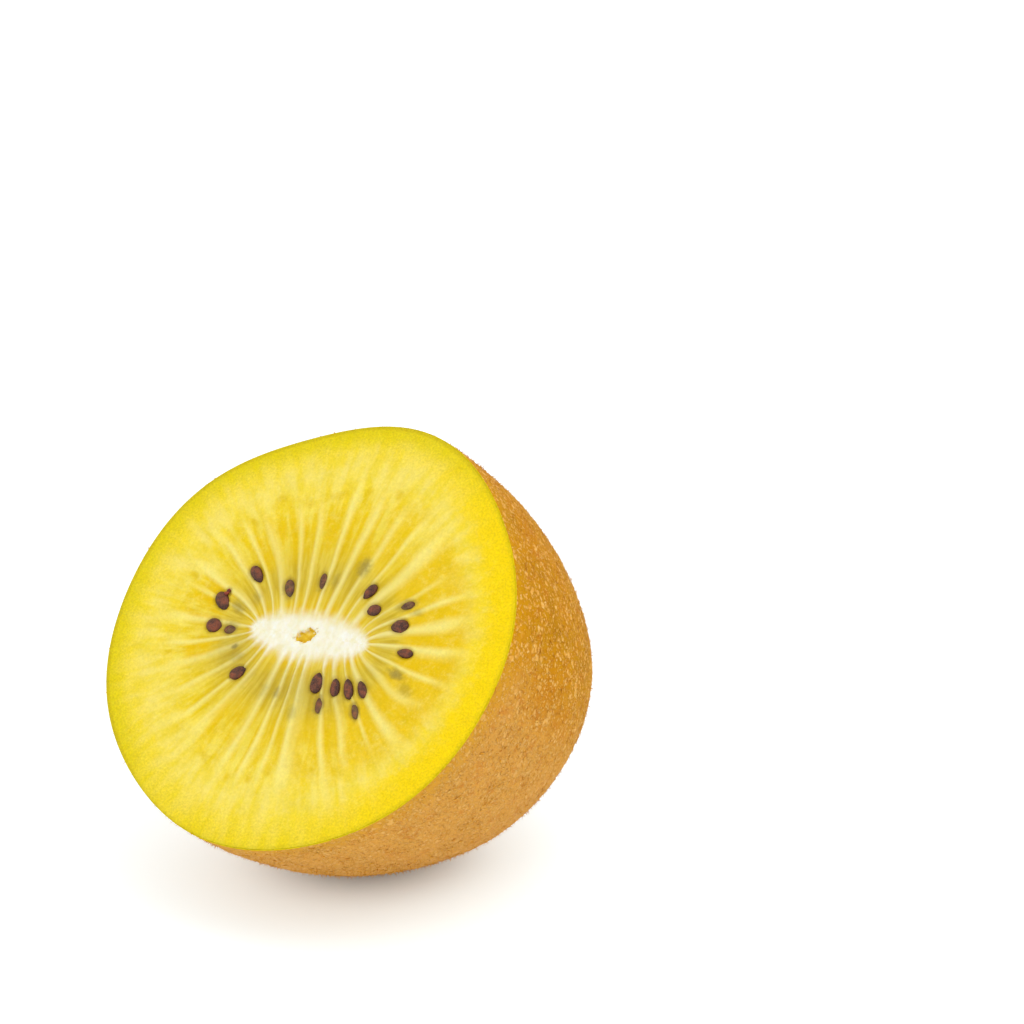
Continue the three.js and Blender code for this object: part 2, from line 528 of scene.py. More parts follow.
@dataclass
class HalfForm:
    """Outer form of the half fruit and its place in the CAD frame, in mm and degrees."""

    radius: float = 26.0
    length: float = 36.0
    fullness: float = 2.2
    bluntness: float = 3.0
    lean: float = 47.7
    side_drift: float = 0.041
    up_drift: float = 0.098
    # Crests round the outline, their height and the angle of one of them
    outline_waves: tuple = ((3, 0.31, -159), (4, 0.26, -58), (5, 0.17, 35), (6, 0.17, 148))
    end_oval: tuple = (2, 1.2, 78)
    press: float = 0.15
    table_gap: float = 0.11
    origin: Vector = field(default_factory=Vector)

    def narrowing(self, depth: float) -> float:
        """Share of the full section that is left at a depth below the cut."""
        return max(0.0, 1 - (depth / self.length) ** self.fullness) ** (1 / self.bluntness)

    def side(self, count: int, inset: float = 0.0, ease: float = 2.2) -> list:
        """Profile from the cut's rim to the blossom end.

        Args:
            count: Number of steps.
            inset: How far the profile lies inside the fruit's outer face.
            ease: How much closer the steps are near the end.

        Returns:
            Radius and height of each point.
        """
        shrunk = 1 - inset / self.length
        return [(self.narrowing(depth) * (self.radius - inset), -depth * shrunk)
                for depth in steps(count, 0.0, self.length, ease)]

    def give_outline(self, piece: bpy.types.Object) -> bpy.types.Object:
        """Gives a round turned piece the fruit's uneven outline and drifting axis.

        Args:
            piece: The piece, in the cut's frame.

        Returns:
            The piece.
        """
        recipe = GeometryRecipe(piece, "uneven_outline")
        graph = recipe.graph
        x, y, z = graph.split(recipe.place())
        depth = graph.math("MAXIMUM", z * -1, 0.0)
        swell = self.outline_swell(graph, x, y, depth)
        recipe.move(Position=graph.vector(x * swell + depth * self.side_drift,
                                          y * swell + depth * self.up_drift, z))
        return recipe.finish()

    def outline_swell(self, graph: Graph, x: Value, y: Value, depth: "Value | float") -> Value:
        """How much wider than a circle the fruit is at a place, as a factor.

        Args:
            graph: Tree that the nodes go to.
            x: The place's X.
            y: The place's Y.
            depth: Its depth below the cut.

        Returns:
            The factor.
        """
        angle = graph.math("ARCTAN2", y, x)
        swell = self.wave(graph, angle, self.end_oval) * (depth / self.length)
        for each in self.outline_waves:
            swell = swell + self.wave(graph, angle, each)
        return 1 + swell / self.radius

    @staticmethod
    def wave(graph: Graph, angle: Value, wave: tuple[int, float, float]) -> Value:
        """Height of a wave (crests, height, angle of a crest) at an angle."""
        crests, height, crest = wave
        return height * graph.math("COSINE", angle * crests - math.radians(crest))

    def from_end(self, graph: Graph, x: Value, y: Value) -> Value:
        """Distance of a place from the line through the middle of the blossom end."""
        return graph.distance(x - self.side_drift * self.length, y - self.up_drift * self.length)

    def lean_matrix(self) -> Matrix:
        """Turns the cut's frame into the frame of the resting fruit."""
        return Matrix.Rotation(math.radians(self.lean), 4, "X")

    def hang_from(self, body: bpy.types.Object) -> None:
        """Finds the middle of the cut from the CAD node's box.

        Args:
            body: The whole half, modelled in the cut's frame.
        """
        low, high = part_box(HALF_NODE)
        turned = [self.lean_matrix() @ vertex.co for vertex in body.data.vertices]
        lowest = [min(point[i] for point in turned) for i in range(3)]
        highest = [max(point[i] for point in turned) for i in range(3)]
        middle = (low + high) / 2 / MILLIMETRE
        self.origin = Vector((
            middle.x - (lowest[0] + highest[0]) / 2,
            middle.y - (lowest[1] + highest[1]) / 2,
            high.z / MILLIMETRE - highest[2]))

    def placement(self) -> Matrix:
        """Takes the cut's frame in mm to the CAD frame in metres."""
        return Matrix.Scale(MILLIMETRE, 4) @ Matrix.Translation(self.origin) @ self.lean_matrix()

    def place(self, piece: bpy.types.Object) -> bpy.types.Object:
        """Puts a finished piece in its place, with the place in its mesh.

        Args:
            piece: The piece, in the cut's frame.

        Returns:
            The piece.
        """
        piece.data.transform(self.placement())
        piece.data.update()
        return piece

    def upward(self) -> Vector:
        """Direction away from the table, seen from the cut's frame."""
        return self.lean_matrix().inverted() @ Vector((0, 0, 1))

    def height(self, x: Value, y: Value, z: Value) -> Value:
        """Height above the table, in mm, of a place in the cut's frame."""
        up = self.upward()
        return x * up.x + y * up.y + z * up.z + self.origin.z

    def rest_on_table(self, piece: bpy.types.Object) -> bpy.types.Object:
        """Presses what would reach below the table flat, as the fruit's own weight does.

        Args:
            piece: The piece, in the cut's frame.

        Returns:
            The piece.
        """
        recipe = GeometryRecipe(piece, "resting_spot")
        graph = recipe.graph
        height = self.height(*graph.split(recipe.place()))
        pressed = height * self.press + self.table_gap
        lift = graph.math("MAXIMUM", pressed - height, 0.0)
        recipe.move(Offset=graph.vector(*(lift * part for part in self.upward())))
        return recipe.finish()

    def material_place(self, graph: Graph) -> bpy.types.NodeSocket:
        """The cut's own coordinates, for a material of a placed piece.

        Args:
            graph: Tree that the nodes go to.

        Returns:
            The coordinates, in mm.
        """
        node = graph.add("ShaderNodeMapping", {"vector_type": "POINT"}, {
            "Vector": graph.object_place(),
            "Location": self.placement().inverted().to_translation(),
            "Rotation": (math.radians(-self.lean), 0, 0),
            "Scale": (1 / MILLIMETRE,) * 3})
        return node.outputs[0]


@dataclass
class FacePoint:
    """Where a point of the cut lies among the core, the rays and the rim."""

    y: Value
    out: Value
    cosine: Value
    sine: Value
    beside_ray: Value
    ray_luck: Value
    room_luck: Value

    def streaks(self, graph: Graph, around: float, outward: float) -> Value:
        """Noise drawn out along the rays.

        Args:
            graph: Tree that the nodes go to.
            around: How finely it changes round the core.
            outward: How finely it changes from the core to the rim.

        Returns:
            The noise, with a mean of about 0.5.
        """
        place = graph.vector(self.cosine * around, self.sine * around, self.out * outward)
        return graph.noise(place, 1.0, 2.0)


@dataclass(frozen=True)
class CutPattern:
    """Core, pit and rays of the cut. The rays leave the oval core squarely and then spread."""

    middle: tuple = (0.2, -0.2)
    half_long: float = 8.1
    half_short: float = 3.25
    turn: float = 5.0
    rays: int = 32
    unevenness: float = 2.6
    wandering: float = 0.5
    round_from: tuple = (11.0, 22.0)
    ray_draw: float = 0.37
    room_draw: float = 11.61
    pit_middle: tuple = (-0.3, -0.2)
    pit_size: tuple = (1.35, 0.85)
    pit_turn: float = 28.0
    pit_tear: float = 1.6

    def focus(self) -> float:
        """Distance from the middle to each focus of the core's oval."""
        return math.sqrt(self.half_long ** 2 - self.half_short ** 2)

    def at(self, graph: Graph, form: HalfForm, place: object) -> FacePoint:
        """Works out where a place lies in the pattern.

        Args:
            graph: Tree that the nodes go to.
            form: Outline of the fruit.
            place: Vector in the cut's frame, in mm.

        Returns:
            The place's coordinates in the pattern.
        """
        x, y, _ = graph.split(place)
        along, across = graph.turned(x, y, self.middle, self.turn)
        focus = self.focus()
        left = graph.math("SQRT", (along + focus) ** 2 + across * across)
        right = graph.math("SQRT", (along - focus) ** 2 + across * across)
        long_axis = (left + right) / 2
        short_axis = graph.math("SQRT", graph.math("MAXIMUM", long_axis ** 2 - focus ** 2, 1e-4))
        angle = graph.math("ARCTAN2", across / short_axis, along / long_axis)
        cosine, sine = graph.math("COSINE", angle), graph.math("SINE", angle)
        uneven = graph.noise(graph.vector(cosine, sine, 0.0), 2.1, 1.0) - 0.5
        wander = (graph.noise(place, 0.1, 1.0) - 0.5) * self.wandering
        count = angle * (self.rays / math.tau) + uneven * self.unevenness + wander
        ray = graph.math("FLOORED_MODULO", round(count), float(self.rays))
        room = graph.math("FLOORED_MODULO", graph.math("FLOOR", count), float(self.rays))
        reach = graph.distance(x, y)
        to_rim = reach / form.outline_swell(graph, x, y, 0.0)
        out = short_axis + graph.smooth(reach, *self.round_from) * (to_rim - short_axis)
        return FacePoint(y, out, cosine, sine, abs(count - round(count)),
                         graph.chance(ray + self.ray_draw), graph.chance(room + self.room_draw))

    def ray_strength(self, graph: Graph, point: FacePoint) -> Value:
        """How much of a pale ray shows at a point.

        Args:
            graph: Tree that the nodes go to.
            point: Place in the pattern.

        Returns:
            The share, from 0 to 1.
        """
        width = 0.24 + point.ray_luck * 0.08
        line = (graph.fade(point.beside_ray, 0.0, width) * 0.8
                + graph.fade(point.beside_ray, 0.02, 0.15) * 0.2)
        starts = graph.smooth(point.out, 1.5, 3.6)
        ends = graph.fade(point.out, 13.0 + point.ray_luck * 4.0, 19.5 + point.ray_luck * 4.0)
        return line * starts * ends * (0.6 + point.ray_luck * 0.4)

    def pit(self, graph: Graph, place: object) -> Value:
        """Share of the pit's depth at a place. The pit has a torn edge.

        Args:
            graph: Tree that the nodes go to.
            place: Vector in the cut's frame, in mm.

        Returns:
            The share, from 0 to 1.
        """
        x, y, _ = graph.split(place)
        along, across = graph.turned(x, y, self.pit_middle, self.pit_turn)
        far = graph.distance(along / self.pit_size[0], across / self.pit_size[1])
        torn = (graph.noise(place, 1.4, 2.0) - 0.5) * self.pit_tear
        return graph.fade(far + torn, 0.7, 1.1)


# ---------------------------------------------------------------------------
# Finishes
# ---------------------------------------------------------------------------


@dataclass(frozen=True)
class Finish:
    """What every finish shares: its name and how its material is made."""

    name: str
    constants: ClassVar[dict] = {}

    def surface(self, graph: Graph) -> dict[str, object]:
        """What changes over the surface, by the shader's socket."""
        raise NotImplementedError

    def build(self) -> bpy.types.Material:
        """Makes the material from the constants and from what changes over the surface.

        Returns:
            The material.
        """
        material = bpy.data.materials.new(self.name)
        material.use_nodes = True
        material.node_tree.nodes.clear()
        graph = Graph(material.node_tree)
        shader = graph.add("ShaderNodeBsdfPrincipled", None,
                           {**self.constants, **self.surface(graph)})
        graph.add("ShaderNodeOutputMaterial", None, {"Surface": shader.outputs[0]})
        return material


@dataclass(frozen=True)
class FleshFinish(Finish):
    """Moist golden flesh with pale rays, a white core and seeds showing through."""

    form: HalfForm
    pattern: CutPattern
    # Middle, length, width, turn and strength of each shadow of a seed below the cut
    sunken_seeds: tuple = (
        ((-5.05, 4.6), 3.1, 1.9, -60, 0.55), ((-1.2, 6.4), 2.9, 1.5, -75, 0.5),
        ((-10.4, -1.75), 2.7, 1.9, 15, 0.55), ((5.1, -7.6), 3.2, 1.7, 110, 0.65),
        ((9.9, -7.2), 3.2, 1.5, 125, 0.6), ((10.7, 6.1), 3.0, 1.6, 210, 0.55),
        ((13.1, -1.9), 2.6, 1.4, -12, 0.75), ((-8.7, -3.6), 1.3, 0.8, 40, 0.8),
        ((-8.0, -4.6), 2.6, 2.0, 40, 0.4), ((-0.8, -7.5), 1.1, 2.0, 0, 0.55),
        ((-2.5, -7.6), 1.4, 2.4, 0, 0.3), ((3.3, 9.2), 2.0, 2.6, 10, 0.65),
        ((2.2, -9.2), 1.5, 2.6, 15, 0.35), ((-10.6, 1.0), 2.6, 1.4, -25, 0.5),
        ((-8.6, 2.6), 1.8, 1.4, -35, 0.3), ((15.0, -3.4), 2.6, 1.6, -25, 0.35),
        ((12.4, 5.6), 2.0, 1.2, 25, 0.35), ((0.4, 6.9), 1.2, 2.4, 10, 0.35),
        ((3.5, -6.2), 17.0, 6.0, 4, 0.2), ((-8.4, -4.0), 9.0, 5.0, 40, 0.2))
    constants: ClassVar[dict] = {
        "Subsurface Weight": 0.25, "Subsurface Radius": (1.0, 0.65, 0.2),
        "Subsurface Scale": 0.0009, "IOR": 1.36, "Specular IOR Level": 0.14,
        "Coat Roughness": 0.14, "Coat IOR": 1.34}

    def surface(self, graph: Graph) -> dict[str, object]:
        """What changes over the surface.

        Args:
            graph: Tree that the nodes go to.

        Returns:
            Values and colours, by the shader's socket.
        """
        place = self.form.material_place(graph)
        point = self.pattern.at(graph, self.form, place)
        pulp = graph.noise(place, 2.3, 3.0, 0.65)
        wet = graph.noise(place, 0.7, 2.0)
        return {"Base Color": self.paint(graph, place, point, pulp),
                "Roughness": 0.36 + wet * 0.22,
                "Coat Weight": graph.smooth(wet, 0.4, 0.7) * 0.15,
                "Normal": self.relief(graph, place, point, pulp)}

    def paint(self, graph: Graph, place: object, point: FacePoint, pulp: Value) -> object:
        """Colour of the cut, from the core out to the rim.

        Args:
            graph: Tree that the nodes go to.
            place: Vector in the cut's frame, in mm.
            point: The same place in the pattern.
            pulp: Noise of the pulp's grains.

        Returns:
            The colour.
        """
        patch = graph.noise(place, 0.5, 3.0, 0.6)
        far = (point.out + (patch - 0.5) * 2.2) / self.form.radius
        shade = self.rooms(graph, point, patch, far)
        rays = self.pattern.ray_strength(graph, point)
        shade = graph.mix(rays * 0.92, shade, graph.ramp(far, RAY, self.form.radius))
        shade = graph.tint(self.seeds_below(graph, place), shade, 140, 124, 66)
        shade = graph.mix(self.core(graph, place, point), shade, self.core_shade(graph, point))
        shade = graph.mix(self.pattern.pit(graph, place), shade, self.pit_shade(graph, place))
        # Painted shade round each seed where it sits in the flesh, together with the olive tinge
        # that the flesh really has there
        shade_beside_seed = graph.fade(graph.attribute(SEED_GAP), 0.0, 0.5)
        shade = graph.tint(shade_beside_seed * 0.4, shade, 172, 132, 30)
        outer = graph.smooth(point.out, 6.0, 18.0)
        edge = graph.smooth(point.out, 20.5, 24.5)
        specks = graph.noise(place, 3.8, 2.0, 0.7)
        tone = (1.01 + (pulp - 0.5) * (0.1 + outer * 0.16)
                + (specks - 0.5) * (outer * 0.22 + edge * 0.45) + (patch - 0.5) * outer * 0.2)
        cloud = graph.smooth(graph.noise(place, 0.8, 3.0, 0.7), 0.45, 0.75) * 0.35
        paler = (graph.smooth(specks, 0.58, 0.75) * 0.2 + cloud) * outer
        shade = graph.tint(paler * graph.fade(point.out, 21.0, 25.0), shade, 254, 236, 128)
        return graph.mix(1.0, shade, graph.vector(tone, tone, tone), "MULTIPLY")

    def rooms(self, graph: Graph, point: FacePoint, patch: Value, far: Value) -> object:
        """Colour of the rooms between the rays.

        Args:
            graph: Tree that the nodes go to.
            point: Place in the pattern.
            patch: Soft noise that blurs the borders.
            far: How far out the place is, 1 at the rim.

        Returns:
            The colour.
        """
        streak = point.streaks(graph, 17.0, 0.2)
        room = graph.mix(graph.smooth(streak, 0.32, 0.68),
                         graph.ramp(far, DEEP_ROOM, self.form.radius),
                         graph.ramp(far, PALE_ROOM, self.form.radius))
        right = graph.math("MAXIMUM", point.cosine, 0.0)
        sideways = 0.5 + point.cosine * point.cosine * 0.5
        golden = (graph.smooth(point.room_luck + right * 0.6, 0.1, 0.7)
                  * graph.smooth(point.out, 8.0, 11.5)
                  * graph.fade(point.out, 13.5 + right * 5.0, 18.5 + right * 4.0)
                  * graph.fade(streak, 0.42 + right * 0.2, 0.66 + right * 0.35))
        room = graph.tint(golden * sideways, room, 238, 197, 0)
        room = graph.tint(self.dots(graph, point, patch) * 0.65, room, 232, 196, 0)
        return self.rim(graph, point, patch, right, room)

    @staticmethod
    def rim(graph: Graph, point: FacePoint, patch: Value, right: Value, room: object) -> object:
        """Colours the flesh next to the skin: deep golden to the right, greenish elsewhere.

        Args:
            graph: Tree that the nodes go to.
            point: Place in the pattern.
            patch: Soft noise that blurs the borders.
            right: 1 straight to the right of the core and 0 above, below and to the left.
            room: Colour so far.

        Returns:
            The new colour.
        """
        blurred = point.out + (patch - 0.5) * 2.5
        toward = graph.smooth(right, 0.2, 0.85)
        room = graph.tint(graph.smooth(blurred, 20.0, 23.5) * toward, room, 252, 217, 0)
        away = (1 - toward) * graph.fade(point.sine * -1, 0.6, 0.95)
        green = graph.smooth(blurred, 22.6, 25.4) * away * 0.75
        room = graph.tint(green, room, 228, 207, 4)
        line = graph.smooth(point.out + (patch - 0.5) * 0.5, 25.3, 25.75) * (0.4 + away * 0.6)
        return graph.tint(line * 0.7, room, 206, 182, 14)

    @staticmethod
    def dots(graph: Graph, point: FacePoint, patch: Value) -> Value:
        """One soft darker spot in many rooms, where a vein is cut across.

        Args:
            graph: Tree that the nodes go to.
            point: Place in the pattern.
            patch: Soft noise that gives a spot its ragged edge.

        Returns:
            The share of the spots, from 0 to 1.
        """
        aside = (0.5 - point.beside_ray) * 4.0
        along = (point.out - (14.6 + point.room_luck * 4.2)) * 0.9
        apart = graph.distance(aside, along) + (patch - 0.5) * 1.6
        return graph.fade(apart, 0.1, 0.9) * graph.smooth(point.room_luck, 0.25, 0.5)

    def core(self, graph: Graph, place: object, point: FacePoint) -> Value:
        """Share of white core. Its edge is soft, and jagged where the rays join.

        Args:
            graph: Tree that the nodes go to.
            place: Vector in the cut's frame, in mm.
            point: The same place in the pattern.

        Returns:
            The share, from 0 to 1.
        """
        jag = (graph.noise(place, 0.8, 2.0) - 0.5) * 1.3
        tooth = graph.fade(point.beside_ray, 0.0, 0.42) * graph.fade(point.y, -3.0, 1.5)
        return graph.fade(point.out + jag - tooth * 0.8, 1.2, 3.7)

    @staticmethod
    def core_shade(graph: Graph, point: FacePoint) -> object:
        """Near-white of the core, with faint warm fibres."""
        return graph.ramp(point.streaks(graph, 9.0, 0.9), (
            (0.25, 244, 236, 196), (0.5, 250, 245, 220), (0.75, 253, 251, 240)))

    @staticmethod
    def pit_shade(graph: Graph, place: object) -> object:
        """Golden brown of the torn pit."""
        return graph.ramp(graph.noise(place, 1.8, 2.0), (
            (0.3, 224, 172, 30), (0.5, 240, 198, 44), (0.7, 249, 217, 92)))

    def seeds_below(self, graph: Graph, place: object) -> Value:
        """Soft shadow of the seeds that lie just below the cut.

        Args:
            graph: Tree that the nodes go to.
            place: Vector in the cut's frame, in mm.

        Returns:
            The shadow's strength, from 0 to 1.
        """
        x, y, _ = graph.split(place)
        blur = (graph.noise(place, 1.6, 2.0) - 0.5) * 0.9
        total: Value | float = 0.0
        for middle, long, wide, turn, strength in self.sunken_seeds:
            along, across = graph.turned(x, y, middle, turn)
            far = graph.distance(along * (2 / long), across * (2 / wide)) + blur
            total = graph.math("MAXIMUM", graph.fade(far, 0.2, 1.35) * strength, total)
        return total

    def relief(self, graph: Graph, place: object, point: FacePoint, pulp: Value) -> object:
        """Fine relief of the pulp: small wet grains and fibres along the rays.

        Args:
            graph: Tree that the nodes go to.
            place: Vector in the cut's frame, in mm.
            point: The same place in the pattern.
            pulp: Noise of the pulp's grains.

        Returns:
            The surface's normal.
        """
        grains = graph.fade(graph.cells(place, 1.8), 0.1, 0.75)
        fibres = point.streaks(graph, 40.0, 0.8)
        outer = graph.smooth(point.out, 3.0, 14.0)
        height = (pulp * 0.8 + grains * 0.4) * (0.25 + outer * 0.75) + fibres * 0.3
        return graph.bump(0.5, 0.00012, height)


@dataclass(frozen=True)
class SkinFinish(Finish):
    """Thin golden-brown skin, speckled with pale orange and a few dark dots."""

    form: HalfForm
    # Flecks per mm, their size, and how much more often they show on the lower side, where they
    # help to paint the fuzz's sheen
    fleck_kinds: tuple = ((0.85, 0.5, -0.4), (1.6, 0.54, 0.0), (2.9, 0.56, 0.25))
    scar_edge: tuple = (2.2, 5.4)
    constants: ClassVar[dict] = {
        "Subsurface Weight": 0.05, "Subsurface Radius": (1.0, 0.5, 0.15),
        "Subsurface Scale": 0.0006, "Sheen Weight": 0.03, "Sheen Roughness": 0.5,
        "Sheen Tint": (1.0, 0.7, 0.4, 1.0), "Specular IOR Level": 0.015}

    def surface(self, graph: Graph) -> dict[str, object]:
        """What changes over the surface.

        Args:
            graph: Tree that the nodes go to.

        Returns:
            Values and colours, by the shader's socket.
        """
        place = self.form.material_place(graph)
        _, y, z = graph.split(place)
        broad = graph.noise(place, 0.13, 3.0, 0.55)
        patch = graph.noise(place, 0.6, 3.0, 0.6)
        grain = graph.noise(place, 2.6, 3.0, 0.65)
        # Painted sheen: the lower side is painted lighter and pinker, with finer and softer
        # flecks, as the fuzz looks at a grazing angle
        below = graph.fade(y + (broad - 0.5) * 12.0, -5.0, 9.0)
        fleck = self.flecks(graph, place, below)
        shade = graph.ramp(broad, ((0.3, 190, 128, 0), (0.45, 212, 145, 0),
                                   (0.55, 217, 145, 0), (0.7, 214, 136, 6)))
        shade = graph.tint(below * 0.85, shade, 236, 169, 80)
        # Painted shade: soft darker patches stand for the shading in the hollows round the raised
        # flecks, weaker on the lower side
        hollow_shade = graph.smooth(graph.noise(place, 1.4, 3.0, 0.7), 0.5, 0.36)
        shade = graph.tint(hollow_shade * 0.35 * (1 - below * 0.5), shade, 184, 112, 0)
        shade = graph.tint(graph.smooth(grain, 0.5, 0.25) * 0.6, shade, 172, 98, 4)
        shade = graph.tint(graph.smooth(patch, 0.52, 0.7) * 0.45, shade, 204, 114, 30)
        rim = graph.fade(z * -1 + (patch - 0.5) * 3.0, 0.2, 4.0)
        shade = graph.tint(rim * 0.5, shade, 226, 160, 4)
        fleck_shade = graph.ramp(grain, (
            (0.3, 232, 150, 32), (0.5, 251, 184, 84), (0.7, 255, 208, 130)))
        # Painted sheen: the flecks are paler and softer on the lower side
        fleck_shade = graph.tint(below * 0.5, fleck_shade, 252, 196, 122)
        shade = graph.mix(fleck * (0.95 - below * 0.35), shade, fleck_shade)
        dots = graph.fade(graph.cells(place, 0.5), 0.04, 0.11)
        shade = graph.tint(dots * 0.45, shade, 132, 78, 28)
        dry = self.end_scar(graph, place, patch)
        shade = graph.tint(graph.smooth(dry, 0.0, 0.35) * 0.6, shade, 186, 122, 48)
        shade = graph.mix(graph.smooth(dry, 0.3, 0.8), shade, graph.ramp(grain, (
            (0.35, 88, 54, 24), (0.5, 134, 86, 38), (0.65, 190, 132, 70))))
        shade = graph.tint(graph.fade(z * -1, 0.06, 0.22), shade, 240, 214, 20)
        return {"Base Color": shade, "Roughness": 0.5 + grain * 0.25,
                "Normal": graph.bump(0.7, 0.0002, grain * 1.0 + fleck * 1.2 + patch * 0.6)}

    def flecks(self, graph: Graph, place: object, below: Value) -> Value:
        """Share of the pale, ragged flecks, finer on the lower side, where they help to paint its
        sheen.

        Args:
            graph: Tree that the nodes go to.
            place: Vector in the cut's frame, in mm.
            below: 1 on the lower side, where the sheen is painted, and 0 on the upper one.

        Returns:
            The share, from 0 to 1.
        """
        ragged = graph.blur(place, 2.0, 0.7)
        total: Value | float = 0.0
        for scale, size, lower in self.fleck_kinds:
            apart, luck, girth = graph.spots(ragged, scale)
            shown = graph.smooth(luck + below * lower, 0.33, 0.58)
            reach = (0.6 + girth * 0.4) * size
            total = graph.math("MAXIMUM", graph.fade(apart, reach - 0.16, reach) * shown, total)
        return total

    def end_scar(self, graph: Graph, place: object, patch: Value) -> Value:
        """Share of dry brown scar at the blossom end.

        Args:
            graph: Tree that the nodes go to.
            place: Vector in the cut's frame, in mm.
            patch: Soft noise that gives the scar its ragged edge.

        Returns:
            The share, from 0 to 1.
        """
        x, y, z = graph.split(place)
        apart = self.form.from_end(graph, x, y) + (patch - 0.5) * 4.0
        near = graph.fade(apart, *self.scar_edge)
        return near * graph.smooth(z * -1, self.form.length * 0.8, self.form.length * 0.93)


@dataclass(frozen=True)
class DryFinish(Finish):
    """Dry hair or crumb, whose tone changes from one to the next."""

    dark: tuple
    middle: tuple
    pale: tuple
    constants: ClassVar[dict] = {
        "Specular IOR Level": 0.1, "Sheen Weight": 0.03, "Sheen Roughness": 0.5}

    def surface(self, graph: Graph) -> dict[str, object]:
        """What changes over the surface.

        Args:
            graph: Tree that the nodes go to.

        Returns:
            Values and colours, by the shader's socket.
        """
        tone = graph.noise(graph.object_place(), 1600.0, 1.0)
        marks = ((0.3, *self.dark), (0.5, *self.middle), (0.68, *self.pale))
        return {"Base Color": graph.ramp(tone, marks), "Roughness": 0.55 + tone * 0.25}


@dataclass(frozen=True)
class SeedFinish(Finish):
    """Dark maroon-brown seed coat, finely pitted and moist."""

    veiled: bool = False
    constants: ClassVar[dict] = {
        "IOR": 1.45, "Specular IOR Level": 0.3, "Coat Roughness": 0.1, "Coat IOR": 1.4}

    def surface(self, graph: Graph) -> dict[str, object]:
        """What changes over the surface.

        Args:
            graph: Tree that the nodes go to.

        Returns:
            Values and colours, by the shader's socket.
        """
        place = graph.object_place()
        patch = graph.noise(place, 1300.0, 2.0)
        speck = graph.noise(place, 6000.0, 2.0, 0.7)
        pits = graph.smooth(graph.cells(place, 7500.0), 0.1, 0.6)
        # Painted shade: each seed is painted darker towards its sides, away from its top
        side = graph.fade(graph.attribute(SEED_CROWN), 0.2, 0.85)
        shade = graph.ramp(patch, ((0.3, 66, 36, 26), (0.5, 100, 56, 38), (0.7, 142, 70, 38)))
        shade = graph.tint(graph.smooth(speck, 0.5, 0.7) * 0.6, shade, 156, 86, 48)
        shade = graph.tint(graph.smooth(speck, 0.45, 0.3) * 0.6, shade, 44, 26, 22)
        shade = graph.tint(side * 0.6, shade, 48, 24, 20)
        if self.veiled:
            film = graph.smooth(graph.noise(place, 1500.0, 2.0), 0.35, 0.7)
            shade = graph.tint(0.05 + film * 0.35, shade, 146, 122, 62)
        return {"Base Color": shade, "Roughness": 0.3 + pits * 0.2, "Coat Weight": patch * 0.4,
                "Normal": graph.bump(0.5, 0.00005, pits)}


@dataclass(frozen=True)
class StalkFinish(Finish):
    """Rust-red tissue of a seed's torn stalk."""

    constants: ClassVar[dict] = {"Roughness": 0.4, "IOR": 1.4}

    def surface(self, graph: Graph) -> dict[str, object]:
        """What changes over the surface, by the shader's socket."""
        return {"Base Color": graph.ramp(graph.noise(graph.object_place(), 2500.0, 2.0), (
            (0.3, 84, 30, 20), (0.5, 136, 46, 26), (0.7, 186, 88, 34)))}


@dataclass(frozen=True)
class FloorFinish(Finish):
    """Plain, cool white studio floor that glows a little, a painted light, except under the fruit,
    where the glow fades into a painted shadow.
    """

    shadow_reach: float = 0.017
    glow: tuple = (0.86, 0.99, 1.03)
    constants: ClassVar[dict] = {
        "Specular IOR Level": 0.1, "Roughness": 0.6, "Emission Strength": 0.4}

    def surface(self, graph: Graph) -> dict[str, object]:
        """What changes over the surface.

        Args:
            graph: Tree that the nodes go to.

        Returns:
            Colours, by the shader's socket.
        """
        place = graph.object_place()
        tone = graph.noise(place, 3.0, 1.0)
        shade = graph.ramp(tone, ((0.0, 242, 248, 250), (1.0, 246, 252, 254)))
        x, y, _ = graph.split(place)
        # Painted shadow: the floor's glow fades out towards the fruit's resting spot
        lit = graph.smooth(graph.distance(x, y), 0.0, self.shadow_reach)
        return {"Base Color": shade,
                "Emission Color": graph.vector(*(lit * part for part in self.glow))}


# ---------------------------------------------------------------------------
# Sub-assemblies
# ---------------------------------------------------------------------------


def hand_over(piece: bpy.types.Object, finish: Finish, slot: Slot,
              *nodes: str) -> bpy.types.Object:
    """Dresses a piece, and says what it rides on and stands for.

    Args:
        piece: The finished piece, in place.
        finish: Its finish. Pieces with the same finish share one material.
        slot: The record's slot for that finish. It is not used.
        nodes: CAD nodes that the piece stands for.

    Returns:
        The piece.
    """
    material = bpy.data.materials.get(finish.name) or finish.build()
    piece.data.materials.clear()
    piece.data.materials.append(material)
    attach(piece, BODY)
    if nodes:
        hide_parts(*nodes)
    log.info("%s: %d faces", piece.name, len(piece.data.polygons))
    return piece


